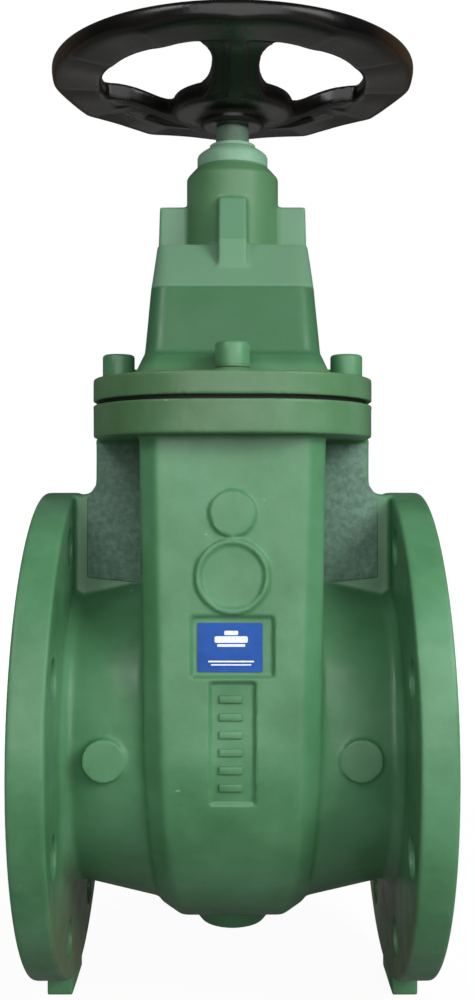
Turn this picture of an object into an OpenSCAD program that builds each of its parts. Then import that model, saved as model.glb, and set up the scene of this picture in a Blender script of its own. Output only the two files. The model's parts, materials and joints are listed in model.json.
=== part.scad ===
// Flanged gate valve, DN 125, short body, with a handwheel and a non-rising stem.
// Z is up and X runs along the pipe. The origin is on the ground between the feet.

/* [Pipe flanges] */
// Face to face length of the valve
face_to_face = 200; // [196:1:206]
// Outside diameter of a pipe flange
flange_d = 250; // [246:1:254]
// Thickness of a pipe flange without its raised face
flange_t = 17.5; // [16:0.5:18]
// Diameter of the raised face
raised_d = 184; // [180:1:186]
// Height of the raised face
raised_h = 2; // [2:0.5:3]
// Diameter of the pipe bore
bore_d = 125; // [124:0.5:126]
// Pitch circle of the flange bolt holes
bolt_circle_d = 210; // [208:1:212]
// Number of bolt holes in a pipe flange
bolt_count = 8; // [8:1:8]
// Diameter of a flange bolt hole
bolt_hole_d = 19; // [18:0.5:20]

/* [Feet] */
// How far a foot stands below the rim of its flange
foot_drop = 9; // [8:0.5:10]
// Width of a foot across the pipe
foot_w = 40; // [34:1:44]
// Thickness of a foot along the pipe
foot_t = 13.5; // [12:0.5:14]

/* [Body] */
// Radius of the neck where it meets the pipe flange
neck_r_flange = 75; // [73:0.5:76]
// Radius of the neck where it meets the chamber
neck_r_chamber = 86; // [85:0.5:87]
// Radius of the round bottom of the gate chamber
chamber_r = 94; // [93:0.5:95]
// Half width of the chamber along the pipe, at its top
chamber_half_x = 44; // [43:0.5:45]
// Half width of the chamber across the pipe, at its top
chamber_half_y = 84; // [83:0.5:85]
// Width of the bevel beside the chamber's front and back faces, at its top
chamber_bevel = 8; // [6:0.5:9]
// Half width of the web over each neck, along the pipe
web_half_x = 70; // [68:0.5:71]
// Half thickness of the web over each neck
web_half_y = 24; // [22:0.5:26]
// Diameter of the round pads cast on the necks
pad_d = 20.5; // [19:0.5:22]
// Height or depth of the cast marks on the front face
mark_h = 1.6; // [1:0.2:2]

/* [Bonnet joint] */
// Height of the joint above the pipe axis
joint_h = 167; // [166:0.5:168]
// Half width of the joint flanges along the pipe
joint_half_x = 68.5; // [67.5:0.5:69.5]
// Half width of the joint flanges across the pipe
joint_half_y = 98; // [97:0.5:100]
// Corner radius of the joint flanges
joint_corner_r = 54; // [50:1:58]
// Thickness of the body's joint flange
body_joint_t = 16; // [15:0.5:17]
// Thickness of the bonnet's joint flange
bonnet_joint_t = 11; // [10.5:0.5:11.5]
// Thickness of the gasket
gasket_t = 2; // [2:0.25:2.5]

/* [Bonnet] */
// Height of the bonnet's dome above its joint flange
dome_h = 71; // [70:0.5:72]
// Height of the shoulder's front edge above the joint flange
shoulder_h = 44.5; // [43:0.5:46]
// Radius of the stuffing box
box_r = 24.25; // [24:0.25:25]
// Height of the stuffing box above the dome
box_h = 45; // [44:0.5:46]
// Width of the ribs beside the stuffing box
rib_w = 14.5; // [13:0.5:16]

/* [Gate] */
// Angle of each seat from the vertical
seat_angle = 4; // [3.5:0.25:4.5]
// Half thickness of the closed gate at the pipe axis
gate_half_t = 22; // [21.5:0.25:22.5]
// Radius of the gate
gate_r = 67; // [66:0.5:67]
// Height that the gate rises
gate_lift = 130; // [128:1:130]
// Gap between the closed gate and a seat
seat_gap = 1.2; // [1:0.1:2]

/* [Stem and handwheel] */
// Radius of the stem's threaded part
thread_r = 12; // [11.5:0.25:12]
// Radius of the stem in the gland
stem_r = 10; // [9.5:0.25:10]
// Outside radius of the handwheel
wheel_r = 95; // [92:1:98]
// Height of the middle of the wheel rim above the pipe axis
wheel_h = 343.5; // [342:0.5:345]
// Radial width of the wheel rim
rim_w = 26; // [24:0.5:27]
// Height of the wheel rim
rim_t = 11.5; // [11:0.5:13]
// Width of a spoke at its narrowest
spoke_w = 23; // [20:0.5:24]

/* [Hidden] */
$fn = 64;
green = "#5c9673";
black = "#1c1b1a";
bronze = "#b08d4a";
iron = "#6b6f6c";
steel = "#8f8f8b";

flange_r = flange_d / 2;
bore_r = bore_d / 2;
half_length = face_to_face / 2;
flange_back = half_length - raised_h - flange_t;
axis_z = flange_r + foot_drop;          // height of the pipe axis
joint_z = axis_z + joint_h;             // top of the body's joint flange
chamber_top_z = joint_z - body_joint_t;
bonnet_z = joint_z + gasket_t;          // underside of the bonnet's joint flange
dome_z = bonnet_z + bonnet_joint_t;     // foot of the dome
shoulder_z = dome_z + shoulder_h;
dome_top_z = dome_z + dome_h;
box_top_z = dome_top_z + box_h;
rib_top_z = box_top_z - 21;
dome_half_x = 38.5;
wall_t = 9;
disc_h = 115;                            // heights of the cast marks above the pipe axis
ring_h = 86;
label_h = 54;
marks_top_h = 38;
marks_low_h = -18;
cavity_half_x = 33;
cavity_half_y = chamber_half_y - wall_t;
cavity_r = chamber_r - wall_t - 3;
front_lean = atan((chamber_r - chamber_half_y) / (chamber_top_z + 2 - axis_z));
screw_places = [[0, -joint_half_y + 10.5], [joint_half_x - 11.5, -36], [joint_half_x - 11.5, 36],
                [0, joint_half_y - 10.5], [-joint_half_x + 11.5, 36], [-joint_half_x + 11.5, -36]];
screw_r = 5;
screw_head_r = 8;
screw_head_h = 12;
screw_length = 27;
screw_pad_h = 1.5;
screw_pad_r = 9.3;
collar_z = box_top_z - 34;              // underside of the stem's collar
collar_h = 9;
collar_r = 15;
box_bore_r = 16.5;
gland_r = 18.75;
gland_h = 11;
gland_top_z = box_top_z + gland_h;
stem_end_z = axis_z + 76;
wheel_z = axis_z + wheel_h;
hub_z = wheel_z - 25.5;                 // underside of the hub
hub_h = 25;
hub_r = 17;
hub_disc_r = 33;
rim_corner_r = 3;                        // of the rim's inner edges
wheel_turn = 2;                          // angle of the front spoke when the gate is shut
square_w = 11.4;
bolt_r = 4;
nut_z = stem_end_z + 2;
nut_h = 22;
nut_half = 17;

// A disc or tube that lies along the pipe, from x0 to x1.
module along_x(x0, x1, r0, r1) {
    translate([x0, 0, axis_z]) rotate([0, 90, 0]) cylinder(h = x1 - x0, r1 = r0, r2 = r1, $fn = 96);
}

// A slab with round corners, centred on the stem.
module round_slab(hx, hy, r, h) {
    translate([-hx + r, -hy, 0]) cube([2 * (hx - r), 2 * hy, h]);
    translate([-hx, -hy + r, 0]) cube([2 * hx, 2 * (hy - r), h]);
    for (sx = [-1, 1], sy = [-1, 1])
        translate([sx * (hx - r), sy * (hy - r), 0]) cylinder(h = h, r = r);
}

// A slab with bevelled corners, centred on the stem.
module bevel_slab(hx, hy, bx, by, h) {
    linear_extrude(height = h) polygon([
        [hx, hy - by], [hx - bx, hy], [bx - hx, hy], [-hx, hy - by],
        [-hx, by - hy], [bx - hx, -hy], [hx - bx, -hy], [hx, by - hy]]);
}

// A form drawn in the XZ plane from its right-hand half, and carried across the pipe.
module across_y(half, half_y) {
    rotate([90, 0, 0]) linear_extrude(height = 2 * half_y, center = true) polygon(both_sides(half));
}

// A form drawn in the YZ plane from its back half, and carried along the pipe.
module across_x(half, half_x) {
    rotate([90, 0, 90]) linear_extrude(height = 2 * half_x, center = true) polygon(both_sides(half));
}

function both_sides(half) = concat(half, [for (i = [len(half) - 1 : -1 : 0]) [-half[i].x, half[i].y]]);

// A disc on the slope of the right-hand seat.
module on_seat(x0, x1, r) {
    translate([0, 0, axis_z]) rotate([0, seat_angle, 0]) translate([x0, 0, 0])
        rotate([0, 90, 0]) cylinder(h = x1 - x0, r = r, $fn = 96);
}

module both_ends() {
    children();
    mirror([1, 0, 0]) children();
}

module pipe_flange() {
    rim = 1;
    along_x(flange_back, flange_back + rim, flange_r - rim, flange_r);
    along_x(flange_back + rim, half_length - raised_h - rim, flange_r, flange_r);
    along_x(half_length - raised_h - rim, half_length - raised_h, flange_r, flange_r - rim);
    along_x(half_length - raised_h - 1, half_length, raised_d / 2, raised_d / 2);
    translate([flange_back + 1.5, -foot_w / 2, 0]) cube([foot_t, foot_w, foot_drop + 8]);
}

module neck() {
    fillet = 5;
    along_x(32, flange_back + 1, neck_r_chamber, neck_r_flange);
    along_x(flange_back - fillet, flange_back + 1, neck_r_flange, neck_r_flange + fillet + 1);
}

// A plate with the chamber's side outline, tapered downwards, and set in from the full outline.
module chamber_plate(inset, half_widths) {
    heights = [axis_z - chamber_r, axis_z - chamber_r / 2, axis_z, chamber_top_z + 2];
    intersection() {
        across_y([for (i = [0 : 3]) [half_widths[i], heights[i]]], chamber_r + 1);
        union() {
            along_x(-50, 50, chamber_r - inset, chamber_r - inset);
            rotate([90, 0, 90]) linear_extrude(height = 100, center = true) polygon(both_sides([
                [chamber_r - inset, axis_z], [chamber_half_y - inset, chamber_top_z + 2]]));
        }
    }
}

// The chamber's outside: bevelled beside its front and back faces, with a round bottom.
module chamber_shell() {
    top = chamber_half_x;
    face_top = chamber_half_x - chamber_bevel;
    hull() {
        chamber_plate(0, [face_top - 11.5, face_top - 6, face_top - 4, face_top]);
        chamber_plate(7, [top - 9, top - 5.5, top - 3, top]);
    }
}

// Web that ties the joint flange, the chamber and the neck together.
module web() {
    low_z = axis_z + 60;
    tie_z = axis_z + flange_r - 1;
    fillet = 6;
    rotate([90, 0, 0]) linear_extrude(height = 2 * web_half_y, center = true) difference() {
        polygon([[30, low_z], [flange_back + 1, low_z], [flange_back + 1, tie_z],
                 [web_half_x + fillet, tie_z], [web_half_x, tie_z + fillet],
                 [web_half_x, chamber_top_z + 1], [30, chamber_top_z + 1]]);
        translate([web_half_x + fillet, tie_z + fillet]) circle(r = fillet);
    }
}

// Space for the gate.
module chamber_cavity() {
    intersection() {
        across_y([[24, axis_z - 85], [28, axis_z], [32, axis_z + 50], [cavity_half_x, joint_z + 5]], 85);
        union() {
            along_x(-40, 40, cavity_r, cavity_r);
            translate([0, 0, axis_z]) round_slab(40, cavity_half_y, 12, joint_h + 5);
        }
    }
}

module flange_bolt_holes() {
    for (i = [0 : bolt_count - 1])
        translate([0, 0, axis_z]) rotate([(i + 0.5) * 360 / bolt_count, 0, 0])
            translate([flange_back - 1, 0, bolt_circle_d / 2]) rotate([0, 90, 0])
                cylinder(h = flange_t + 5, r = bolt_hole_d / 2);
}

// A round boss that points to the front, out to y.
module front_boss(x, z, r, y) {
    translate([x, -70, z]) rotate([90, 0, 0]) cylinder(h = y - 70, r = r);
}

// Places a form on the leaning front face of the chamber, at a height above the pipe axis.
module on_front(h) {
    translate([0, h * tan(front_lean) - chamber_r, axis_z + h]) rotate([90 - front_lean, 0, 0]) children();
}

// A shallow boss under the chamber, with a sloping edge.
module bottom_boss() {
    boss_r = 21;
    slope_h = 7;
    translate([0, 0, axis_z - chamber_r - 7.5]) {
        cylinder(h = slope_h, r1 = boss_r - 5.5, r2 = boss_r);
        translate([0, 0, slope_h]) cylinder(h = 20, r = boss_r);
    }
}

module cast_pads() {
    for (side = [0, 1]) mirror([0, side, 0]) for (x = [-60, 60]) front_boss(x, axis_z, pad_d / 2, 83.3);
    on_front(disc_h) translate([0, 0, -4]) cylinder(h = 4 + mark_h, r = 10.7);
    on_front(ring_h) difference() {
        translate([0, 0, -4]) cylinder(h = 4 + mark_h, r = 17.2);
        translate([0, 0, 0.2]) cylinder(h = 4, r = 14.8);
    }
}

// Sunk panels on the front face: one for a label, and one below it that follows the round bottom.
module front_panels() {
    half_label = 19;
    half_marks = 10.3;
    floor_r = chamber_r - mark_h;
    outside_y = -chamber_r - 9;
    on_front(label_h) translate([-half_label, -14, -mark_h]) cube([2 * half_label, 28, 9]);
    rotate([90, 0, 90]) linear_extrude(height = 2 * half_marks, center = true) polygon(concat(
        [[outside_y, axis_z + marks_top_h], [marks_top_h * tan(front_lean) - floor_r, axis_z + marks_top_h]],
        [for (h = [0 : -6 : marks_low_h]) [-sqrt(floor_r * floor_r - h * h), axis_z + h]],
        [[outside_y, axis_z + marks_low_h]]));
}

module valve_body() {
    color(green) difference() {
        union() {
            both_ends() {
                pipe_flange();
                neck();
                web();
            }
            chamber_shell();
            translate([0, 0, chamber_top_z])
                round_slab(joint_half_x, joint_half_y, joint_corner_r, body_joint_t);
            bottom_boss();
            cast_pads();
        }
        along_x(-half_length - 1, half_length + 1, bore_r, bore_r);
        chamber_cavity();
        both_ends() {
            on_seat(gate_half_t, gate_half_t + 13, 72.1);
            flange_bolt_holes();
        }
        for (p = screw_places) translate([p.x, p.y, joint_z - 14]) cylinder(h = 15, r = screw_r + 0.1);
        front_panels();
    }
}

module seat_ring() {
    color(bronze) difference() {
        on_seat(gate_half_t + seat_gap, gate_half_t + 13, 72);
        along_x(0, 60, bore_r, bore_r);
    }
}

module bonnet_gasket() {
    color(black) translate([0, 0, joint_z]) difference() {
        round_slab(joint_half_x - 3, joint_half_y - 3, joint_corner_r - 3, gasket_t);
        translate([0, 0, -1]) round_slab(cavity_half_x + 1, cavity_half_y + 1, 8, gasket_t + 2);
        for (p = screw_places) translate([p.x, p.y, -1]) cylinder(h = gasket_t + 2, r = screw_r + 0.5);
    }
}

// The dome's outside: a flared foot, a leaning front, a sloping shoulder and a low upright top.
module dome_shell() {
    foot_z = dome_z - 2;
    flare_h = 9;
    flare_foot = [46.8, 80];     // half widths along and across the pipe, from the foot to the top
    flare_top = [42.5, 75];
    front_foot = [43, 77];
    shoulder = [dome_half_x + 1.2, 61];
    top = [dome_half_x, 28];
    hull() {
        translate([0, 0, foot_z]) round_slab(flare_foot.x, flare_foot.y, 14, 2.5, $fn = 32);
        translate([0, 0, dome_z + flare_h]) round_slab(flare_top.x, flare_top.y, 11, 1, $fn = 32);
    }
    hull() {
        translate([0, 0, foot_z]) round_slab(front_foot.x, front_foot.y, 11, 1, $fn = 32);
        translate([0, 0, shoulder_z - 1]) round_slab(shoulder.x, shoulder.y, 9, 1, $fn = 32);
        translate([0, 0, dome_top_z - 5]) round_slab(top.x, top.y, 6, 5, $fn = 32);
    }
}

// Space in the dome for the raised gate.
module dome_cavity() {
    roof_z = dome_top_z - 12;
    intersection() {
        across_y([[cavity_half_x, bonnet_z - 5], [cavity_half_x, dome_z + 20], [27, roof_z]], 90);
        across_x([[cavity_half_y, bonnet_z - 5], [cavity_half_y - 6, dome_z + 10],
                  [50, shoulder_z], [26, roof_z]], 50);
    }
}

// Ribs that stay the stuffing box: upright at the sides, sloping at the front and back.
module box_ribs() {
    half = rib_w / 2;
    across_y([[dome_half_x + 0.9, dome_top_z - 10], [dome_half_x - 0.2, rib_top_z]], half);
    across_x([[49, dome_top_z - 18], [28, rib_top_z]], half);
}

module bonnet() {
    color(green) difference() {
        union() {
            translate([0, 0, bonnet_z])
                round_slab(joint_half_x, joint_half_y, joint_corner_r, bonnet_joint_t);
            for (p = screw_places) translate([p.x, p.y, dome_z - 2])
                cylinder(h = 2 + screw_pad_h, r = screw_pad_r);
            dome_shell();
            box_ribs();
            translate([0, 0, dome_top_z - 14]) cylinder(h = box_h + 8.5, r = box_r);
            translate([0, 0, box_top_z - 5.5]) cylinder(h = 5.5, r1 = box_r, r2 = box_r - 5);
        }
        dome_cavity();
        for (p = screw_places) translate([p.x, p.y, bonnet_z - 1]) cylinder(h = 20, r = screw_r + 0.5);
        translate([0, 0, dome_top_z - 20]) cylinder(h = 60, r = thread_r + 0.5);
        translate([0, 0, collar_z - 1]) cylinder(h = 40, r = box_bore_r);
    }
}

module bonnet_screw(p) {
    color(green) translate([p.x, p.y, dome_z + screw_pad_h]) {
        translate([0, 0, -screw_length]) cylinder(h = screw_length + 1, r = screw_r);
        difference() {
            union() {
                cylinder(h = screw_head_h - 1, r = screw_head_r);
                translate([0, 0, screw_head_h - 1]) cylinder(h = 1, r1 = screw_head_r, r2 = screw_head_r - 1);
            }
            translate([0, 0, screw_head_h - 5]) cylinder(h = 6, r = 4.6, $fn = 6);
        }
    }
}

module gland() {
    low_z = collar_z + collar_h + 0.5;
    color(green) difference() {
        union() {
            translate([0, 0, low_z]) cylinder(h = box_top_z - low_z, r = box_bore_r - 0.1);
            translate([0, 0, box_top_z]) cylinder(h = gland_h - 5, r = gland_r);
            translate([0, 0, gland_top_z - 5]) cylinder(h = 5, r1 = gland_r, r2 = gland_r - 6.5);
        }
        translate([0, 0, low_z - 1]) cylinder(h = 60, r = stem_r + 0.1);
    }
}

module wiper_ring() {
    color(black) translate([0, 0, gland_top_z]) difference() {
        cylinder(h = 1.5, r = stem_r + 2);
        translate([0, 0, -1]) cylinder(h = 5, r = stem_r + 0.3);
    }
}

module gate_wedge() {
    core = gate_half_t - 2.5;
    slope = tan(seat_angle);
    color(iron) difference() {
        union() {
            intersection() {
                across_y([[core - slope * gate_r, axis_z - gate_r],
                          [core + slope * gate_r, axis_z + gate_r]], gate_r);
                along_x(-40, 40, gate_r, gate_r);
            }
            translate([-21, -26, axis_z + 40]) cube([42, 52, nut_z + nut_h - axis_z - 40]);
        }
        translate([0, 0, axis_z - gate_r + 7]) cylinder(h = 200, r = thread_r + 1.5);
        translate([-30, -nut_half - 0.2, nut_z - 0.2]) cube([60, 2 * nut_half + 0.4, nut_h + 10]);
        both_ends() difference() {
            on_seat(core - 2.5, core + 10, 54);
            on_seat(core - 4, core + 12, 20);
        }
    }
}

module gate_ring() {
    color(bronze) difference() {
        on_seat(gate_half_t - 2.45, gate_half_t, gate_r);
        on_seat(gate_half_t - 6, gate_half_t + 6, 56);
    }
}

module stem_nut() {
    color(bronze) difference() {
        translate([-nut_half, -nut_half, nut_z]) cube([2 * nut_half, 2 * nut_half, nut_h]);
        translate([0, 0, nut_z - 1]) cylinder(h = nut_h + 2, r = thread_r + 0.3);
    }
}

module stem() {
    neck_z = gland_top_z + 2;
    color(green) {
        translate([0, 0, stem_end_z]) cylinder(h = collar_z + 1 - stem_end_z, r = thread_r);
        translate([0, 0, collar_z]) cylinder(h = collar_h, r = collar_r);
        translate([0, 0, collar_z + 1]) cylinder(h = neck_z - collar_z - 1, r = stem_r);
        translate([0, 0, neck_z - 1]) cylinder(h = hub_z - neck_z + 1, r1 = 9, r2 = 8.4);
        translate([-square_w / 2, -square_w / 2, hub_z - 1]) cube([square_w, square_w, hub_h]);
    }
}

// A spoke that rises from the hub to the rim and widens at the rim.
module spoke() {
    hull() {
        translate([0, -24, hub_z + 6]) cylinder(h = 11, r = spoke_w / 2, $fn = 32);
        translate([0, -52, hub_z + 14.5]) cylinder(h = 9, r = spoke_w / 2, $fn = 32);
    }
    hull() {
        translate([0, -52, hub_z + 14.5]) cylinder(h = 9, r = spoke_w / 2, $fn = 32);
        for (side = [-1, 1]) translate([side * 11, 18 - wheel_r, wheel_z - 5])
            cylinder(h = 9, r = 5, $fn = 32);
    }
}

module handwheel() {
    half = rim_t / 2;
    inner_r = wheel_r - rim_w;
    color(black) difference() {
        union() {
            translate([0, 0, wheel_z]) rotate_extrude($fn = 128) {
                for (side = [-1, 1])
                    translate([inner_r + rim_corner_r, side * (half - rim_corner_r)])
                        circle(r = rim_corner_r);
                translate([inner_r, rim_corner_r - half]) square([half, rim_t - 2 * rim_corner_r]);
                translate([inner_r + rim_corner_r, -half]) square([rim_w - half - rim_corner_r, rim_t]);
                translate([wheel_r - half, 0]) circle(r = half, $fn = 48);
            }
            for (i = [0 : 2]) rotate([0, 0, i * 120 + wheel_turn]) spoke();
            translate([0, 0, hub_z]) cylinder(h = hub_h, r = hub_r);
            translate([0, 0, hub_z + 5]) cylinder(h = 11, r = hub_disc_r);
        }
        translate([-square_w / 2 - 0.2, -square_w / 2 - 0.2, hub_z - 1])
            cube([square_w + 0.4, square_w + 0.4, hub_h + 2]);
    }
}

module wheel_washer() {
    color(steel) translate([0, 0, hub_z + hub_h]) difference() {
        cylinder(h = 2.5, r = 13);
        translate([0, 0, -1]) cylinder(h = 5, r = bolt_r + 0.3);
    }
}

module wheel_bolt() {
    color(steel) translate([0, 0, hub_z + hub_h]) {
        translate([0, 0, 2.5]) cylinder(h = 5.5, r = 7.5, $fn = 6);
        translate([0, 0, -1]) cylinder(h = 4, r = bolt_r);
    }
}

valve_body();
mirror([1, 0, 0]) seat_ring();  // seat_ring_left
seat_ring();  // seat_ring_right
bonnet_gasket();
bonnet();
for (i = [0 : 5]) bonnet_screw(screw_places[i]);
gland();
wiper_ring();
gate_wedge();
mirror([1, 0, 0]) gate_ring();  // gate_ring_left
gate_ring();  // gate_ring_right
stem_nut();
stem();
handwheel();
wheel_washer();
wheel_bolt();
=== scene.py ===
import json
import math

import bmesh
import bpy
from mathutils import Matrix, Vector, noise

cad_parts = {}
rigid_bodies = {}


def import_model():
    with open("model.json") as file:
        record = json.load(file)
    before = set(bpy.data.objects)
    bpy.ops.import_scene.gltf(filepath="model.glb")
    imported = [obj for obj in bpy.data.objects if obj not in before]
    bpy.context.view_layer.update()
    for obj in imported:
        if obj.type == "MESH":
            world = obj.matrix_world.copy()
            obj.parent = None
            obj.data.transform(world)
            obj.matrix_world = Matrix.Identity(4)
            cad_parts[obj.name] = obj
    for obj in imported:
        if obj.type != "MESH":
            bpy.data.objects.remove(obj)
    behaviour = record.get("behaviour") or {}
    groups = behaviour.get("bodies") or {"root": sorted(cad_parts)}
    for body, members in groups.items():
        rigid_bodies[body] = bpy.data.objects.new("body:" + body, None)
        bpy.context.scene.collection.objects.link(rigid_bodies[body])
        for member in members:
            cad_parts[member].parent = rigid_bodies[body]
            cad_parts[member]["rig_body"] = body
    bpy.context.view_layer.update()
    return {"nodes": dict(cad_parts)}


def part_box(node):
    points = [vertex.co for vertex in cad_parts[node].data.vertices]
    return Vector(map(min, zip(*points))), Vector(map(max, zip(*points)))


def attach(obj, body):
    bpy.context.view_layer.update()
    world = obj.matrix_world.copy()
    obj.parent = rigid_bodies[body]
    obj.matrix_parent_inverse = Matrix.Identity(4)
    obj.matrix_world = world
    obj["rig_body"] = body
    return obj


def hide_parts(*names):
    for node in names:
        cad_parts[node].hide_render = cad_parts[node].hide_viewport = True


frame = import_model()
nodes = frame["nodes"]
mm = 0.001  # settings are in millimetres, the scene in metres
axisZ = 134 * mm  # height of the pipe axis
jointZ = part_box("bonnet_gasket")[0].z  # top of the body's joint flange
wheelLow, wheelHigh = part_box("handwheel")
frontLean = 3.74  # degrees by which the chamber's front face leans back
noiseSpan = (0.3, 0.7)  # where most of a noise node's values lie
machinedPasses = 2  # rounds of smoothing on machined faces, which keep crisp edges
print("frame loaded", len(nodes), "nodes")


def linearColour(hexText):
    channels = [int(hexText[i:i + 2], 16) / 255 for i in (1, 3, 5)]
    return tuple(c / 12.92 if c <= 0.04045 else ((c + 0.055) / 1.055) ** 2.4 for c in channels) + (1.0,)


def addNode(tree, kind, settings=None, links=None):
    node = tree.nodes.new(kind)
    for key, value in (settings or {}).items():
        if isinstance(key, int) or key in node.inputs:
            node.inputs[key].default_value = value
        else:
            setattr(node, key, value)
    for socket, source in (links or {}).items():
        tree.links.new(source, node.inputs[socket])
    return node


def addNoise(tree, place, sizeMm, detail, roughness=0.5):
    noiseNode = addNode(tree, "ShaderNodeTexNoise", {
        "Scale": 1 / (sizeMm * mm), "Detail": detail, "Roughness": roughness}, {"Vector": place})
    return noiseNode.outputs["Fac"]


def addRange(tree, value, start, end, low=0.0, high=1.0):
    # start to end becomes low to high, held at both ends
    rangeNode = addNode(tree, "ShaderNodeMapRange", {
        "From Min": start, "From Max": end, "To Min": low, "To Max": high}, {"Value": value})
    return rangeNode.outputs["Result"]


def addMath(tree, operation, *terms):
    # a term is a number or the output of another node
    numbers = {i: term for i, term in enumerate(terms) if isinstance(term, (int, float))}
    sources = {i: term for i, term in enumerate(terms) if i not in numbers}
    return addNode(tree, "ShaderNodeMath", {"operation": operation, **numbers}, sources).outputs["Value"]


def addMix(tree, share, under, tint):
    mixNode = addNode(tree, "ShaderNodeMix", {"data_type": "RGBA", 7: linearColour(tint)},
                      {0: share, 6: under})
    return mixNode.outputs[2]


def addRamp(tree, value, stops):
    ramp = addNode(tree, "ShaderNodeValToRGB", links={"Fac": value})
    elements = ramp.color_ramp.elements
    while len(elements) < len(stops):
        elements.new(0.5)
    for element, (place, tint) in zip(elements, stops):
        element.position = place
        element.color = linearColour(tint)
    return ramp.outputs["Color"]


def addBump(tree, height, strength, heightMm, normal=None):
    links = {"Height": height}
    if normal is not None:
        links["Normal"] = normal
    bump = addNode(tree, "ShaderNodeBump", {"Strength": strength, "Distance": heightMm * mm}, links)
    return bump.outputs["Normal"]


def objectPlace(tree):
    return addNode(tree, "ShaderNodeTexCoord").outputs["Object"]


def newMaterial(name, **sockets):
    material = bpy.data.materials.new(name)
    material.use_nodes = True
    shader = material.node_tree.nodes["Principled BSDF"]
    for socket, value in sockets.items():
        shader.inputs[socket.replace("_", " ")].default_value = value
    return material, material.node_tree, shader


def feedShader(tree, shader, **sockets):
    for socket, source in sockets.items():
        tree.links.new(source, shader.inputs[socket.replace("_", " ")])


def latheRings(tree, place, pitchMm, axis):
    # ring-shaped grooves round the pipe axis (X) or the stem (Z), at the given pitch
    if axis == "X":
        place = addNode(tree, "ShaderNodeMapping", {"Location": (0, 0, -axisZ)},
                        {"Vector": place}).outputs["Vector"]
    # the wave node's rings repeat every 2 pi / 20 units at scale 1
    wave = addNode(tree, "ShaderNodeTexWave", {
        "wave_type": "RINGS", "rings_direction": axis, "Scale": math.pi / 10 / (pitchMm * mm),
        "Distortion": 0.4, "Detail": 2.0}, {"Vector": place})
    return wave.outputs["Fac"]


# Cast iron under one sprayed coat of satin green: the sand's grain shows through as a soft
# pebbled skin, thicker paint reads a little darker and richer, and nicks show paler.
paintSettings = {
    "thick": "#3f704b", "mid": "#4c7e58", "thin": "#588a67", "toneMm": 45, "toneStops": (0.3, 0.5, 0.72),
    "roughness": 0.35, "glossier": 0.06, "duller": 0.08,
    "grainMm": 1.4, "grainHeightMm": 0.09, "grainStrength": 0.6,
    "lumpMm": 12, "lumpHeightMm": 0.3, "lumpStrength": 0.5,
    "nick": "#86ad92", "nickMm": 7, "nickCut": (0.79, 0.82), "nickShare": 0.7,
    # a brown tint: place and reach on the pipe flanges' inner faces, heights where
    # it starts and is full, then reach above and below the joint, half length and shares at its ends
    "brownTint": "#584c2c", "innerFaceMm": 79.6, "innerReachMm": 2.2, "innerHeightsMm": (88, 52),
    "innerShare": 0.5, "jointReachMm": 16.4, "jointHalfMm": 68, "jointShares": (0.18, 0.26),
    # painted light and shade by height: start and soft edge in mm above the joint, tint, least radius in mm
    "zones": (), "zoneShare": 0.85, "zoneEdgeMm": 0.3,
    # faces turned bare after painting, from this far out along the pipe
    "turnedFromMm": None, "turnedEdgeMm": 0.05, "turnedTint": "#8e8d84", "turnedMetallic": 0.35,
    "turnedPitchMm": 0.8, "turnedStrength": 0.4, "turnedDeepMm": 0.05,
}


def browningShare(tree, split, along, settings):
    # browner low on the inner faces of the pipe flanges
    inside = addMath(tree, "COMPARE", along, settings["innerFaceMm"] * mm, settings["innerReachMm"] * mm)
    start, full = settings["innerHeightsMm"]
    low = addRange(tree, split.outputs["Z"], start * mm, full * mm, high=settings["innerShare"])
    inner = addMath(tree, "MULTIPLY", inside, low)
    # and round the rims of the joint flanges, a little more at one end
    joint = addMath(tree, "COMPARE", split.outputs["Z"], jointZ, settings["jointReachMm"] * mm)
    half = settings["jointHalfMm"] * mm
    ends = addRange(tree, split.outputs["X"], half, -half, *settings["jointShares"])
    return addMath(tree, "MULTIPLY_ADD", joint, ends, inner)


def paintedLightAndShade(tree, split, colour, settings):
    # paints light and shade into the colour: each tint above its height and beyond its radius
    flat = addNode(tree, "ShaderNodeCombineXYZ", links={"X": split.outputs["X"], "Y": split.outputs["Y"]})
    away = addNode(tree, "ShaderNodeVectorMath", {"operation": "LENGTH"}, {0: flat.outputs["Vector"]})
    for start, soft, tint, radius in settings["zones"]:
        above = addRange(tree, split.outputs["Z"], jointZ + (start - soft) * mm,
                         jointZ + (start + soft) * mm, high=settings["zoneShare"])
        beyond = addRange(tree, away.outputs["Value"], (radius - settings["zoneEdgeMm"]) * mm,
                          (radius + settings["zoneEdgeMm"]) * mm)
        colour = addMix(tree, addMath(tree, "MULTIPLY", above, beyond), colour, tint)
    return colour


def turnFaces(tree, shader, along, place, colour, normal, settings):
    # the raised gasket faces were turned after painting: bare grey iron with fine rings
    edge = settings["turnedFromMm"] * mm
    bare = addRange(tree, along, edge, edge + settings["turnedEdgeMm"] * mm)
    feedShader(tree, shader, Metallic=addMath(tree, "MULTIPLY", bare, settings["turnedMetallic"]))
    rings = latheRings(tree, place, settings["turnedPitchMm"], "X")
    grooves = addBump(tree, addMath(tree, "MULTIPLY", rings, bare), settings["turnedStrength"],
                      settings["turnedDeepMm"], normal)
    return addMix(tree, bare, colour, settings["turnedTint"]), grooves


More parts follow.
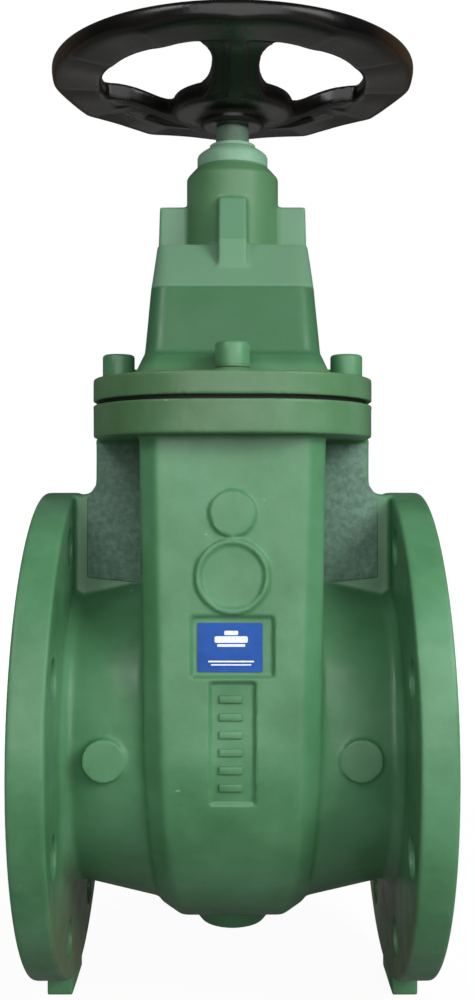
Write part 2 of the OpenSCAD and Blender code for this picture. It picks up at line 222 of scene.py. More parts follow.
def paintedCasting(name, settings):
    roughness = settings["roughness"]
    material, tree, shader = newMaterial(
        name, Base_Color=linearColour(settings["mid"]), Roughness=roughness, IOR=1.5)
    place = objectPlace(tree)
    split = addNode(tree, "ShaderNodeSeparateXYZ", links={"Vector": place})
    along = addMath(tree, "ABSOLUTE", split.outputs["X"])
    coats = zip(settings["toneStops"], (settings["thick"], settings["mid"], settings["thin"]))
    colour = addRamp(tree, addNoise(tree, place, settings["toneMm"], detail=5, roughness=0.6), list(coats))
    # nicks: a few pale specks, from a noise cut off near its top
    nick = addRange(tree, addNoise(tree, place, settings["nickMm"], detail=1), *settings["nickCut"],
                    high=settings["nickShare"])
    colour = addMix(tree, nick, colour, settings["nick"])
    colour = addMix(tree, browningShare(tree, split, along, settings), colour, settings["brownTint"])
    # painted light and shade by height, where the settings list any
    colour = paintedLightAndShade(tree, split, colour, settings)
    lump = addNoise(tree, place, settings["lumpMm"], detail=2)
    grain = addNoise(tree, place, settings["grainMm"], detail=3, roughness=0.6)
    gloss = addRange(tree, lump, *noiseSpan, roughness - settings["glossier"],
                     roughness + settings["duller"])
    normal = addBump(tree, lump, settings["lumpStrength"], settings["lumpHeightMm"])
    normal = addBump(tree, grain, settings["grainStrength"], settings["grainHeightMm"], normal)
    if settings["turnedFromMm"]:
        colour, normal = turnFaces(tree, shader, along, place, colour, normal, settings)
    feedShader(tree, shader, Base_Color=colour, Roughness=gloss, Normal=normal)
    return material


greenPaint = paintedCasting("satinPaintOnCastIron", paintSettings)
bodyPaint = paintedCasting("satinPaintOnBody", dict(paintSettings, turnedFromMm=99.4))
# On the bonnet, painted light and shade by height: its walls and its neck are painted darker as shade, its
# roof and its ribs paler as light.
bonnetPaint = paintedCasting("satinPaintOnBonnet", dict(paintSettings, zones=(
    (17, 3, "#356140", 0), (57, 0.6, "#6b9376", 0), (84.6, 0.6, "#4a754e", 0), (85, 0.6, "#5c876b", 26.4))))
# The turned gland and its wiper ring hold less paint, so they look paler and drier.
thinPaint = paintedCasting("thinPaintOnTurnedSteel", dict(
    paintSettings, thin="#88b097", mid="#7aa588", thick="#6b987b", roughness=0.46, lumpHeightMm=0.1,
    toneMm=14))
# The pads on the webs: coarse as-cast skin that took the paint thin, so it looks grey and dry.
roughPaint = paintedCasting("thinPaintOnRoughCasting", dict(
    paintSettings, thin="#6a8a7a", mid="#5a7869", thick="#4a6759", roughness=0.6,
    grainMm=1.8, grainHeightMm=0.4, toneMm=3))
# The steel stem took only overspray, so grey shows through the green.
stemPaint = paintedCasting("oversprayOnSteel", dict(
    paintSettings, thin="#74897b", mid="#647a6a", thick="#566a5b", roughness=0.36,
    grainMm=1.0, grainHeightMm=0.04, lumpHeightMm=0.05, toneMm=12))

enamelSettings = {
    "base": "#0a0a0a", "roughness": 0.22, "specular": 0.45, "glossSpan": (0.2, 0.3), "wearMm": 30,
    # the brown tint, its reach across in mm and its share make a painted brown reflection on the rim's ends
    "stops": ((0.35, "#060606"), (0.7, "#100d0a")), "brownReflection": "#46341f", "reflectionMm": (66, 96),
    "reflectionShare": 0.65, "peelMm": 3, "peelStrength": 0.3, "peelHeightMm": 0.06,
}


def glossEnamel(settings):
    # Stoved black enamel on a grey iron casting: deep black, glossy, faint orange peel, with a painted
    # brown reflection on the rim's left and right ends.
    material, tree, shader = newMaterial(
        "stovedBlackEnamel", Base_Color=linearColour(settings["base"]), Roughness=settings["roughness"],
        IOR=1.5, Specular_IOR_Level=settings["specular"])
    place = objectPlace(tree)
    wear = addNoise(tree, place, settings["wearMm"], detail=4)
    split = addNode(tree, "ShaderNodeSeparateXYZ", links={"Vector": place})
    along = addMath(tree, "ABSOLUTE", split.outputs["X"])
    start, end = settings["reflectionMm"]
    # painted brown reflection on the left and right ends of the rim
    reflectedShare = addRange(tree, along, start * mm, end * mm, high=settings["reflectionShare"])
    colour = addMix(tree, reflectedShare, addRamp(tree, wear, settings["stops"]), settings["brownReflection"])
    peel = addNoise(tree, place, settings["peelMm"], detail=2)
    feedShader(tree, shader, Base_Color=colour,
               Roughness=addRange(tree, wear, *noiseSpan, *settings["glossSpan"]),
               Normal=addBump(tree, peel, settings["peelStrength"], settings["peelHeightMm"]))
    return material


rubberSettings = {
    "base": "#151614", "roughness": 0.75, "ior": 1.52, "grainMm": 0.8,
    "stops": ((0.3, "#101110"), (0.75, "#232422")), "grainStrength": 0.4, "grainHeightMm": 0.05,
}


def nitrileRubber(settings):
    # Die-cut nitrile sheet: matt black with a fine calendered grain.
    material, tree, shader = newMaterial(
        "cutNitrileRubber", Base_Color=linearColour(settings["base"]), Roughness=settings["roughness"],
        IOR=settings["ior"])
    grain = addNoise(tree, objectPlace(tree), settings["grainMm"], detail=3)
    feedShader(tree, shader, Base_Color=addRamp(tree, grain, settings["stops"]),
               Normal=addBump(tree, grain, settings["grainStrength"], settings["grainHeightMm"]))
    return material


turnedSettings = {
    "stainMm": 18, "deepStop": 0.3, "paleStop": 0.65, "glossier": 0.06, "duller": 0.12,
    "ringStrength": 0.3, "ringDeepMm": 0.04,
}


def turnedMetal(name, pale, deep, roughness, pitchMm, axis, settings=turnedSettings):
    # Lathe-turned metal: fine rings round the given axis break the gloss up.
    material, tree, shader = newMaterial(
        name, Base_Color=linearColour(pale), Roughness=roughness, Metallic=1.0)
    place = objectPlace(tree)
    stain = addNoise(tree, place, settings["stainMm"], detail=5)
    colour = addRamp(tree, stain, [(settings["deepStop"], deep), (settings["paleStop"], pale)])
    gloss = addRange(tree, stain, *noiseSpan, roughness - settings["glossier"],
                     roughness + settings["duller"])
    rings = latheRings(tree, place, pitchMm, axis)
    feedShader(tree, shader, Base_Color=colour, Roughness=gloss,
               Normal=addBump(tree, rings, settings["ringStrength"], settings["ringDeepMm"]))
    return material


ironSettings = {
    "base": "#4b4a47", "roughness": 0.6, "metallic": 0.7, "rustMm": 25, "rustRoughness": 0.65,
    "stops": ((0.4, "#53524f"), (0.62, "#5d4c3c")), "sandMm": 1.4, "sandStrength": 0.6,
    "sandHeightMm": 0.2,
}


def bareCasting(settings):
    # Unpainted cast iron, wetted and dried: dark grey, sandy, with a bloom of brown rust.
    material, tree, shader = newMaterial(
        "bareCastIron", Base_Color=linearColour(settings["base"]), Roughness=settings["roughness"],
        Metallic=settings["metallic"])
    place = objectPlace(tree)
    rust = addNoise(tree, place, settings["rustMm"], detail=6, roughness=settings["rustRoughness"])
    sand = addNoise(tree, place, settings["sandMm"], detail=3)
    feedShader(tree, shader, Base_Color=addRamp(tree, rust, settings["stops"]),
               Normal=addBump(tree, sand, settings["sandStrength"], settings["sandHeightMm"]))
    return material


blackEnamel = glossEnamel(enamelSettings)
rubber = nitrileRubber(rubberSettings)
bronzeX = turnedMetal("turnedBronzeSeat", "#b08a4e", "#8a6a3c", 0.32, 0.8, "X")
bronzeZ = turnedMetal("turnedBronzeNut", "#a98448", "#7f6035", 0.38, 1.0, "Z")
zincSteel = turnedMetal("zincPlatedSteel", "#b4b5b0", "#8f918d", 0.34, 0.7, "Z")
bareIron = bareCasting(ironSettings)
print("materials made")


def applySteps(name, mesh, steps):
    worker = bpy.data.objects.new(name + "Worker", mesh)
    bpy.context.scene.collection.objects.link(worker)
    for kind, settings in steps:
        modifier = worker.modifiers.new(kind, kind)
        for key, value in settings.items():
            setattr(modifier, key, value)
    made = bpy.data.meshes.new_from_object(worker.evaluated_get(bpy.context.evaluated_depsgraph_get()))
    bpy.data.objects.remove(worker)
    return made


def finishPiece(name, mesh, material, body, replaced=(), sharpAngle=None):
    mesh.name = name
    mesh.materials.clear()
    mesh.materials.append(material)
    mesh.polygons.foreach_set("use_smooth", [True] * len(mesh.polygons))
    if sharpAngle:
        mesh.set_sharp_from_angle(angle=math.radians(sharpAngle))
    piece = bpy.data.objects.new(name, mesh)
    bpy.context.scene.collection.objects.link(piece)
    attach(piece, body)
    if replaced:
        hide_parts(*replaced)


def meshOf(name, form):
    mesh = bpy.data.meshes.new(name)
    form.to_mesh(mesh)
    form.free()
    return mesh


def finishForm(name, form, material, body, replaced=(), sharpAngle=38):
    bmesh.ops.remove_doubles(form, verts=form.verts, dist=1e-6)
    bmesh.ops.recalc_face_normals(form, faces=form.faces)
    finishPiece(name, meshOf(name, form), material, body, replaced, sharpAngle)


def unevenVerts(groups, settings):
    # pushes the skin in by a little that varies; machined faces stay true
    wobble, size = settings["wobbleMm"] * mm, settings["wobbleSizeMm"] * mm
    for key, verts in groups.items():
        if key != machinedPasses:
            for vert in verts:
                vert.co += vert.normal * wobble * (noise.noise(vert.co / size) - 1)


def softened(name, form, settings, passes):
    # remeshed and smoothed, so that every edge and corner gets a casting's soft radius; passes
    # gives the rounds of smoothing at a place
    dense = applySteps(name, meshOf(name + "Source", form), [
        ("REMESH", {"mode": "VOXEL", "voxel_size": settings["voxelMm"] * mm})])
    form = bmesh.new()
    form.from_mesh(dense)
    groups = {}
    for vert in form.verts:
        groups.setdefault(passes(vert.co), []).append(vert)
    done = 0
    for count in sorted(groups):
        moving = [v for key, verts in groups.items() if key >= count for v in verts]
        for turn in range(count - done):
            bmesh.ops.smooth_vert(form, verts=moving, factor=0.5, use_axis_x=True, use_axis_y=True,
                                  use_axis_z=True)
        done = count
    form.normal_update()
    if settings["wobbleMm"]:
        unevenVerts(groups, settings)
    form.to_mesh(dense)
    form.free()
    ratio = min(1.0, settings["targetTriangles"] / (2 * len(dense.polygons)))
    return applySteps(name, dense, [("DECIMATE", {"ratio": ratio})])


def softenCasting(name, node, settings, passes, material):
    form = bmesh.new()
    form.from_mesh(nodes[node].data)
    bmesh.ops.remove_doubles(form, verts=form.verts, dist=1e-5)
    mesh = softened(name, form, settings, passes)
    finishPiece(name, mesh, material, nodes[node]["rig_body"], (node,))
    print(name, len(mesh.polygons), "faces")


# the limits of each zone, and its rounds of smoothing
bodySettings = {
    "voxelMm": 0.85, "targetTriangles": 195000, "wobbleMm": 0.12, "wobbleSizeMm": 22,
    "raisedFromMm": 97.2, "boreMm": 66, "seatFromMm": 35, "jointTopMm": 1.5,
    "marksOutMm": 80, "marksHalfMm": 22, "marksLowMm": -24, "marksHighMm": 130, "markPasses": 1,
    "padFromMm": 46, "padToMm": 74, "padHalfMm": 14, "padPasses": 3,
    "flangeFromMm": 79, "neckMm": 76, "jointThickMm": 17, "rimPasses": 5, "wallPasses": 18,
}


def bodyPasses(place):
    limit = bodySettings
    x, high = abs(place.x), place.z - axisZ
    radius = math.hypot(place.y, high)
    bore = radius < limit["boreMm"] * mm and x > limit["seatFromMm"] * mm
    if x > limit["raisedFromMm"] * mm or bore or place.z > jointZ - limit["jointTopMm"] * mm:
        return machinedPasses
    marked = limit["marksLowMm"] * mm < high < limit["marksHighMm"] * mm and x < limit["marksHalfMm"] * mm
    if marked and place.y < -limit["marksOutMm"] * mm:
        return limit["markPasses"]
    if limit["padFromMm"] * mm < x < limit["padToMm"] * mm and abs(high) < limit["padHalfMm"] * mm:
        return limit["padPasses"]
    flange = x > limit["flangeFromMm"] * mm and radius > limit["neckMm"] * mm
    if flange or place.z > jointZ - limit["jointThickMm"] * mm:
        return limit["rimPasses"]
    return limit["wallPasses"]


softenCasting("castBody", "valve_body", bodySettings, bodyPasses, bodyPaint)

bonnetSettings = {
    "voxelMm": 0.75, "targetTriangles": 150000, "wobbleMm": 0.08, "wobbleSizeMm": 22,
    "gasketFaceMm": 3.2, "jointTopMm": 15, "rimPasses": 5, "domePasses": 8,
}


def bonnetPasses(place):
    if place.z < jointZ + bonnetSettings["gasketFaceMm"] * mm:
        return machinedPasses
    if place.z < jointZ + bonnetSettings["jointTopMm"] * mm:
        return bonnetSettings["rimPasses"]
    return bonnetSettings["domePasses"]


softenCasting("castBonnet", "bonnet", bonnetSettings, bonnetPasses, bonnetPaint)


def spinForm(form, points, steps, closed=True):
    # turns an outline of (radius, height) points in metres about the stem's axis
    verts = [form.verts.new((radius, 0, height)) for radius, height in points]
    pairs = list(zip(verts, verts[1:] + verts[:1]))
    edges = [form.edges.new(pair) for pair in (pairs if closed else pairs[:-1])]
    bmesh.ops.spin(form, geom=verts + edges, cent=(0, 0, 0), axis=(0, 0, 1), dvec=(0, 0, 0),
                   angle=2 * math.pi, steps=steps, use_merge=True)


def turned(profileMm, baseZ, steps):
    form = bmesh.new()
    spinForm(form, [(radius * mm, baseZ + height * mm) for radius, height in profileMm], steps, closed=False)
    bmesh.ops.remove_doubles(form, verts=form.verts, dist=1e-6)
    return form


wheelSettings = {
    "outerMm": 95, "rimWideMm": 26, "rimHighMm": 11.5, "rimSteps": 240,
    "gripCount": 12, "gripDeepMm": (0.7, 1.8), "gripBelowMm": 1,
    "hubMm": 17, "discMm": 32, "hubSteps": 96,
    "spokeCount": 3, "spokeWideMm": 23.5, "spokeThickMm": 9, "spokeCuts": 14, "spokeStartMm": 16,
    "spokeIntoRimMm": 9, "spokeLowMm": 6.5, "spokeIntoCrownMm": 1.2, "riseStartMm": 22, "riseLongMm": 44,
    "rimFlareMm": 10, "hubFlareMm": 7, "hubFlareEndMm": 44, "flareLongMm": 20,
    "ribWideMm": 9, "ribThickMm": 3, "ribDropMm": -1.1,
    "turnDegrees": 2, "voxelMm": 0.8, "targetTriangles": 150000, "wobbleMm": 0, "passes": 7,
}


def addRim(form, settings):
    # flat crown, steep outer face and a tucked-in underside
    outer, half = settings["outerMm"], settings["rimHighMm"] / 2
    inner = outer - settings["rimWideMm"]
    middleZ = wheelHigh.z - half * mm
    outline = [(inner + 2, half - 1.2), (inner + 7, half), (outer - 4, half), (outer - 1.3, half - 0.8),
               (outer - 0.1, half - 2.2), (outer, 0.5), (outer - 0.3, -2), (outer - 0.9, -4.2),
               (outer - 3, -half + 0.4), (outer - 6, -half),
               (inner + 7, -half - 0.1), (inner + 1.6, -half - 0.1),
               (inner + 0.1, -half + 1.4), (inner - 0.2, 0), (inner + 0.5, 2.6)]
    spinForm(form, [(r * mm, middleZ + z * mm) for r, z in outline], settings["rimSteps"])
    # shallow waves for the fingers on the underside
    shallow, deep = settings["gripDeepMm"]
    for vert in form.verts:
        if vert.co.z < middleZ - settings["gripBelowMm"] * mm:
            turn = math.atan2(vert.co.x, -vert.co.y)
            share = (vert.co.xy.length / mm - inner) / settings["rimWideMm"]
            lift = (shallow + (deep - shallow) * min(1, max(0, share))) * mm
            vert.co.z += abs(math.sin(settings["gripCount"] / 2 * turn)) * lift


def addHub(form, settings):
    # boss below, dished disc round it
    hub, disc = settings["hubMm"], settings["discMm"]
    outline = [(0.1, 0), (hub - 1.5, 0), (hub, 1.5), (hub, 4.5), (hub + 3, 5.4), (disc - 2, 6), (disc, 8),
               (disc, 13.5), (disc - 1.2, 16), (hub + 6, 17), (hub + 1.5, 19), (hub - 0.5, 24.5),
               (0.1, 24.5)]
    spinForm(form, [(r * mm, wheelLow.z + z * mm) for r, z in outline], settings["hubSteps"])


def addSpoke(form, settings, turn, wide, tall, drop, flared):
    # a bar bent up from the disc to the rim
    inner = settings["outerMm"] - settings["rimWideMm"]
    start, startLow = settings["spokeStartMm"], settings["spokeLowMm"]
    climb = (wheelHigh.z - settings["rimHighMm"] * mm - wheelLow.z - startLow * mm
             + settings["spokeIntoCrownMm"] * mm)
    before = len(form.verts)
    made = bmesh.ops.create_cube(form, size=1)
    edges = list({e for v in made["verts"] for e in v.link_edges})
    lengthways = [e for e in edges if abs(e.verts[0].co.y - e.verts[1].co.y) > 0.5]
    bmesh.ops.subdivide_edges(form, edges=lengthways, cuts=settings["spokeCuts"])
    verts = list(form.verts)[before:]
    for vert in verts:
        along = 0.5 - vert.co.y  # 0 at the hub, 1 at the rim
        radius = start + along * (inner + settings["spokeIntoRimMm"] - start)
        halfWide = wide / 2
        if flared:
            long = settings["flareLongMm"]
            halfWide += (settings["rimFlareMm"] * max(0, (radius - inner + long) / long) ** 2
                         + settings["hubFlareMm"] * max(0, (settings["hubFlareEndMm"] - radius) / long) ** 2)
        share = min(1, max(0, (radius - settings["riseStartMm"]) / settings["riseLongMm"]))
        low = startLow + (0.5 - 0.5 * math.cos(math.pi * share)) * climb / mm
        vert.co = Vector((math.copysign(halfWide * mm, vert.co.x), -radius * mm,
                          wheelLow.z + (low + drop + (tall if vert.co.z > 0 else 0)) * mm))
    bmesh.ops.rotate(form, verts=verts, cent=(0, 0, 0),
                     matrix=Matrix.Rotation(math.radians(360 / settings["spokeCount"] * turn), 3, "Z"))


def makeHandwheel(settings):
    form = bmesh.new()
    addRim(form, settings)
    addHub(form, settings)
    # spokes flared at both ends, then a flat rib below each
    for wide, tall, drop, flared in (
            (settings["spokeWideMm"], settings["spokeThickMm"], 0, True),
            (settings["ribWideMm"], settings["ribThickMm"], settings["ribDropMm"], False)):
        for turn in range(settings["spokeCount"]):
            addSpoke(form, settings, turn, wide, tall, drop, flared)
    bmesh.ops.rotate(form, verts=form.verts, cent=(0, 0, 0),
                     matrix=Matrix.Rotation(math.radians(settings["turnDegrees"]), 3, "Z"))
    bmesh.ops.recalc_face_normals(form, faces=form.faces)
    mesh = softened("wheel", form, settings, lambda place: settings["passes"])
    finishPiece("dishedHandwheel", mesh, blackEnamel, "wheel_and_stem", ("handwheel",))
    print("handwheel", len(mesh.polygons), "faces")


makeHandwheel(wheelSettings)

screwSettings = {
    "count": 6, "steps": 36, "headMm": 8, "headHighMm": 12, "edgeMm": 0.4, "crownHighMm": 1.4,
    "crownInMm": 1.3, "crownStepMm": 0.5, "shankMm": 5, "tipMm": 0.6, "mouthMm": 5.3, "mouthEdgeMm": 0.3,
    "socketMm": 4.6, "socketSides": 6, "socketTopMm": 0.4, "socketDeepMm": 5,
}


def makeScrews(settings):
    radius, tall, edge = settings["headMm"], settings["headHighMm"], settings["edgeMm"]
    shank, tip, mouth, lip = (settings[key] for key in ("shankMm", "tipMm", "mouthMm", "mouthEdgeMm"))
    for number in range(1, settings["count"] + 1):
        node = "bonnet_screw_%d" % number
        low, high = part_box(node)
        middle = (low + high) / 2
        shankLong = (high.z - low.z) / mm - tall
        form = turned([
            (0, -shankLong), (shank - tip, -shankLong), (shank, -shankLong + tip), (shank, 0),
            (radius - edge, 0), (radius, edge), (radius, tall - settings["crownHighMm"]),
            (radius - edge, tall - settings["crownStepMm"]), (radius - settings["crownInMm"], tall),
            (mouth, tall), (mouth - lip, tall - lip)], low.z + shankLong * mm, settings["steps"])
        # socket for a key, joined to the head's top by its own ring
        rim = [e for e in form.edges if e.is_boundary]
        socket = bmesh.ops.create_circle(
            form, cap_ends=False, radius=settings["socketMm"] * mm, segments=settings["socketSides"],
            matrix=Matrix.Translation((0, 0, high.z - settings["socketTopMm"] * mm)))
        ring = list({e for v in socket["verts"] for e in v.link_edges})
        bmesh.ops.bridge_loops(form, edges=rim + ring)
        wall = bmesh.ops.extrude_edge_only(form, edges=ring)
        floor = [g for g in wall["geom"] if isinstance(g, bmesh.types.BMVert)]
        bmesh.ops.translate(form, verts=floor, vec=(0, 0, -settings["socketDeepMm"] * mm))
        bmesh.ops.contextual_create(form, geom=floor)
        bmesh.ops.translate(form, verts=form.verts, vec=(middle.x, middle.y, 0))
        finishForm("capScrew%d" % number, form, greenPaint, "valve", (node,))


makeScrews(screwSettings)
print("screws made")

glandSettings = {"radiusMm": 18.6, "boreMm": 10.1, "plugMm": 16.4, "capHighMm": 11, "edgeMm": 0.6,
                 "steps": 72, "sharpDegrees": 30}


def makeGland(settings):
    low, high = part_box("gland")
    tall = (high.z - low.z) / mm
    capFoot = tall - settings["capHighMm"]
    radius, bore, plug, edge = (settings[key] for key in ("radiusMm", "boreMm", "plugMm", "edgeMm"))
    profile = [(bore, 0), (plug, 0), (plug, capFoot), (radius - edge, capFoot), (radius, capFoot + edge),
               (radius, tall - 5.4), (radius - 0.5, tall - 4.2), (radius - 1.8, tall - 3),
               (radius - 4.5, tall - 1.2), (radius - 6, tall - 0.3), (radius - 7, tall), (bore, tall),
               (bore, 0)]
    form = turned(profile, low.z, settings["steps"])
    finishForm("glandCap", form, thinPaint, "valve", ("gland",), settings["sharpDegrees"])


makeGland(glandSettings)

# heights are above the pipe axis, apart from topMm, which is below the joint flange
padSettings = {
    "innerMm": 41, "outerMm": 74.2, "upperMm": 68.8, "footHeightsMm": (78, 81.5),
    "stepHeightsMm": (122, 130), "jointThickMm": 16, "topMm": 1.2, "faceMm": 24, "thickMm": 1.1,
    "sunkMm": 0.5, "bevelMm": 0.8,
}


def makeWebPads(settings):
    # a coarse raised patch on both faces of each web
    inner, outer, upper = settings["innerMm"], settings["outerMm"], settings["upperMm"]
    footInner, footOuter = settings["footHeightsMm"]
    stepLow, stepHigh = settings["stepHeightsMm"]
    top = jointZ / mm - settings["jointThickMm"] - settings["topMm"] - axisZ / mm
    outline = [(inner, footInner), (outer, footOuter), (outer, stepLow), (upper, stepHigh), (upper, top),
               (inner, top)]
    for side, sideName in ((1, "Right"), (-1, "Left")):
        for facing, facingName in ((-1, "Front"), (1, "Back")):
            form = bmesh.new()
            startY = facing * (settings["faceMm"] - settings["sunkMm"]) * mm
            corners = [form.verts.new((side * x * mm, startY, axisZ + z * mm)) for x, z in outline]
            face = form.faces.new(corners)
            solid = bmesh.ops.extrude_face_region(form, geom=[face])
            lifted = [g for g in solid["geom"] if isinstance(g, bmesh.types.BMVert)]
            bmesh.ops.translate(form, verts=lifted,
                                vec=(0, facing * (settings["thickMm"] + settings["sunkMm"]) * mm, 0))
            bmesh.ops.recalc_face_normals(form, faces=form.faces)
            bmesh.ops.bevel(form, geom=form.edges[:], offset=settings["bevelMm"] * mm, affect="EDGES",
                            segments=2, profile=0.5, material=-1)
            finishForm("webPad%s%s" % (facingName, sideName), form, roughPaint, "valve")


makeWebPads(padSettings)

labelSettings = {
    "widthMm": 29.8, "heightMm": 22.4, "leftMm": 1.1, "centreMm": 53.6, "yMm": -89.1, "cornerMm": 0.8,
    "sheetThickMm": 0.5, "barThickMm": 0.64,
    # plain bars that say nothing: place across and up, half width, half height
    "bars": [(0.5, 3.6, 7.6, 1.5), (0.5, 0.9, 6.4, 0.6), (0.5, 6.6, 3.2, 1.0), (0.5, -6.4, 10.5, 0.35),
             (0.5, -7.9, 9.2, 0.3)],
}


def printedVinyl(name, base, specular, grainMm, detail, stops):
    # Printed vinyl film: satin, its ink a little uneven.
    material, tree, shader = newMaterial(
        name, Base_Color=linearColour(base), Roughness=0.4, IOR=1.5, Specular_IOR_Level=specular)
    ink = addNoise(tree, objectPlace(tree), grainMm, detail)
    feedShader(tree, shader, Base_Color=addRamp(tree, ink, stops))
    return material


def makeLabel(settings):
    blue = printedVinyl("printedVinyl", "#114a9a", 0.3, 12, 3.0, [(0.3, "#0e438e"), (0.7, "#1652a6")])
    white = printedVinyl("whitePrint", "#e4e8ee", 0.5, 0.9, 2.0, [(0.3, "#cfd8e6"), (0.6, "#eceff4")])
    place = Vector((-settings["leftMm"] * mm, settings["yMm"] * mm, axisZ + settings["centreMm"] * mm))
    turnBack = Matrix.Translation(place) @ Matrix.Rotation(math.radians(90 - frontLean), 4, "X")
    sheet = [(0, 0, settings["widthMm"] / 2, settings["heightMm"] / 2)]
    for name, material, plates, thick in (("labelSheet", blue, sheet, settings["sheetThickMm"]),
                                          ("labelBars", white, settings["bars"], settings["barThickMm"])):
        form = bmesh.new()
        for x, y, halfX, halfY in plates:
            size = Matrix.Diagonal((2 * halfX * mm, 2 * halfY * mm, thick * mm, 1))
            made = bmesh.ops.create_cube(form, size=1, matrix=Matrix.Translation((x * mm, y * mm, 0)) @ size)
            corners = [e for e in {e for v in made["verts"] for e in v.link_edges}
                       if abs(e.verts[0].co.z - e.verts[1].co.z) > 0.1 * mm]
            bmesh.ops.bevel(form, geom=corners, offset=min(settings["cornerMm"], halfY * 0.6) * mm,
                            affect="EDGES", segments=4, profile=0.5, material=-1)
        form.transform(turnBack)
        finishForm(name, form, material, "valve")


makeLabel(labelSettings)
print("label made")

castBarSettings = {
    "highestMm": 30, "stepMm": 8, "count": 6, "leftMm": 0.8, "wideMm": 11, "tallMm": 3.6, "proudMm": 1.0,
    "bevelMm": 0.6, "panelRadiusMm": 92.4, "sharpDegrees": 60,
}


def makeCastBars(settings):
    # plain raised bars in the lower panel, where a foundry casts its own marks
    form = bmesh.new()
    radius = settings["panelRadiusMm"]
    size = Matrix.Diagonal((settings["wideMm"] * mm, 2 * settings["proudMm"] * mm,
                            settings["tallMm"] * mm, 1))
    for number in range(settings["count"]):
        high = settings["highestMm"] - number * settings["stepMm"]
        if high > 0:  # on the leaning face above the pipe axis, on the round bottom below it
            floorY, lean = high * math.tan(math.radians(frontLean)) - radius, frontLean
        else:
            floorY, lean = -math.sqrt(radius ** 2 - high ** 2), math.degrees(math.asin(high / radius))
        place = Matrix.Translation((-settings["leftMm"] * mm, floorY * mm, axisZ + high * mm))
        tilt = Matrix.Rotation(math.radians(-lean), 4, "X")
        made = bmesh.ops.create_cube(form, size=1, matrix=place @ tilt @ size)
        edges = list({e for v in made["verts"] for e in v.link_edges})
        bmesh.ops.bevel(form, geom=edges, offset=settings["bevelMm"] * mm, affect="EDGES", segments=3,
                        profile=0.5, material=-1)
    finishForm("castBars", form, greenPaint, "valve", sharpAngle=settings["sharpDegrees"])


makeCastBars(castBarSettings)

keptNodes = {
    "bonnet_gasket": rubber, "wiper_ring": thinPaint, "seat_ring_left": bronzeX, "seat_ring_right": bronzeX,
    "gate_ring_left": bronzeX, "gate_ring_right": bronzeX, "stem_nut": bronzeZ, "gate_wedge": bareIron,
    "stem": stemPaint, "wheel_washer": zincSteel, "wheel_bolt": zincSteel,
}
for nodeName, material in keptNodes.items():
    for slotHere in nodes[nodeName].material_slots:
        slotHere.material = material

stageSettings = {
    "floorMetres": 14, "floorColour": "#7a7a78", "floorRoughness": 0.9, "seenShare": 0.65,
    "glossShare": 0.02, "glowMetres": (0.4, 1.6), "glowStrengths": (1.44, 1.72), "roomLight": 0.045,
}


def seenShare(tree, camera, others):
    # how much of the white shows: camera rays one share, mirror and glass rays another
    path = addNode(tree, "ShaderNodeLightPath")
    shown = addMath(tree, "MULTIPLY", path.outputs["Is Camera Ray"], camera)
    both = addMath(tree, "ADD", path.outputs["Is Glossy Ray"], path.outputs["Is Transmission Ray"])
    total = addNode(tree, "ShaderNodeMath", {"operation": "MULTIPLY_ADD", 1: others, "use_clamp": True},
                    {0: both, 2: shown})
    return total.outputs["Value"]


def makeFloor(settings):
    form = bmesh.new()
    bmesh.ops.create_grid(form, x_segments=2, y_segments=2, size=settings["floorMetres"])
    mesh = meshOf("paleFloor", form)
    floor = bpy.data.objects.new("paleFloor", mesh)
    bpy.context.scene.collection.objects.link(floor)
    material, tree, shader = newMaterial("palePaperFloor", Base_Color=linearColour(settings["floorColour"]),
                                         Roughness=settings["floorRoughness"])
    # the glow grows with distance, where the lamps no longer reach
    away = addNode(tree, "ShaderNodeVectorMath", {"operation": "LENGTH"}, {0: objectPlace(tree)})
    strength = addRange(tree, away.outputs["Value"], *settings["glowMetres"], *settings["glowStrengths"])
    glow = addNode(tree, "ShaderNodeEmission", {"Color": (1, 1, 1, 1)}, {"Strength": strength})
    blended = addNode(tree, "ShaderNodeMixShader", links={
        0: seenShare(tree, settings["seenShare"], settings["glossShare"]), 1: shader.outputs["BSDF"],
        2: glow.outputs["Emission"]})
    tree.links.new(blended.outputs["Shader"], tree.nodes["Material Output"].inputs["Surface"])
    mesh.materials.append(material)


def makeRoom(settings):
    world = bpy.data.worlds.new("whiteRoom")
    bpy.context.scene.world = world
    world.use_nodes = True
    tree = world.node_tree
    dim = tree.nodes["Background"]
    dim.inputs["Color"].default_value = (1, 1, 1, 1)
    dim.inputs["Strength"].default_value = settings["roomLight"]
    bright = addNode(tree, "ShaderNodeBackground", {"Color": (1, 1, 1, 1), "Strength": 1.0})
    blended = addNode(tree, "ShaderNodeMixShader", links={
        0: seenShare(tree, 1.0, settings["glossShare"]), 1: dim.outputs["Background"],
        2: bright.outputs["Background"]})
    tree.links.new(blended.outputs["Shader"], tree.nodes["World Output"].inputs["Surface"])


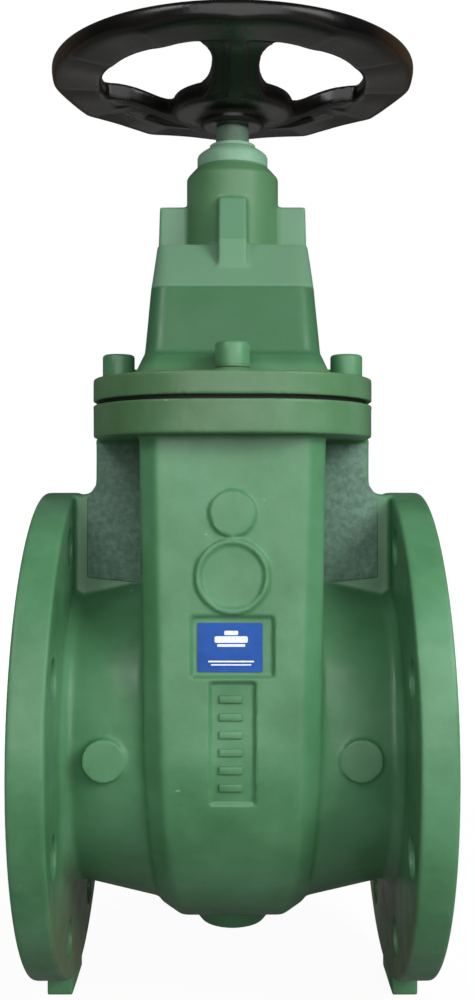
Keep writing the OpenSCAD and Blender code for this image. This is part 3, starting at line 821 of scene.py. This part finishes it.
makeFloor(stageSettings)
makeRoom(stageSettings)

lampSettings = [
    # name, place, aim, size, watts, shows in reflections
    ("keySoftbox", (0.98, -0.95, 0.72), (0, 0, 0.24), (0.6, 0.6), 14, False),
    ("glintPanel", (0.93, -0.9, 1.05), (0, 0, 0.24), (0.6, 0.6), 5, True),
    ("leftFill", (-0.76, -0.88, 1.2), (0, 0, 0.24), (0.45, 0.45), 3.6, True),
    ("frontPanel", (0.12, -1.5, 0.85), (0.12, 0, 0.85), (1.6, 1.6), 16, True),
    ("topSoftbox", (0.1, 0.3, 1.5), (0, 0, 0.3), (1.0, 0.8), 2.5, False),
    ("backFill", (0, 1.5, 0.55), (0, 0, 0.25), (0.5, 0.9), 12, False),
    ("leftRearFill", (-1.3, 0.7, 0.5), (0, 0, 0.22), (0.5, 0.5), 6, False),
]
for lampName, place, aim, size, watts, mirrored in lampSettings:
    light = bpy.data.lights.new(lampName, "AREA")
    light.shape = "RECTANGLE"
    light.size, light.size_y = size
    light.energy = watts
    lamp = bpy.data.objects.new(lampName, light)
    bpy.context.scene.collection.objects.link(lamp)
    lamp.visible_glossy = mirrored
    lamp.location = place
    lamp.rotation_euler = (Vector(aim) - Vector(place)).to_track_quat("-Z", "Y").to_euler()

cameraSettings = {"backMm": 645, "overAxisMm": 121.5, "lensMm": 43.74, "sensorMm": 36, "shiftX": 0.005,
                  "shiftY": -0.001}
camera = bpy.data.cameras.new("frontCamera")
camera.lens = cameraSettings["lensMm"]
camera.sensor_width = cameraSettings["sensorMm"]
camera.shift_x = cameraSettings["shiftX"]
camera.shift_y = cameraSettings["shiftY"]
cameraObject = bpy.data.objects.new("frontCamera", camera)
bpy.context.scene.collection.objects.link(cameraObject)
cameraObject.location = (0, -cameraSettings["backMm"] * mm, axisZ + cameraSettings["overAxisMm"] * mm)
cameraObject.rotation_euler = (math.radians(90), 0, 0)  # level, facing +Y
bpy.context.scene.camera = cameraObject
bpy.context.scene.view_settings.view_transform = "Standard"
print("stage, lamps and camera set")
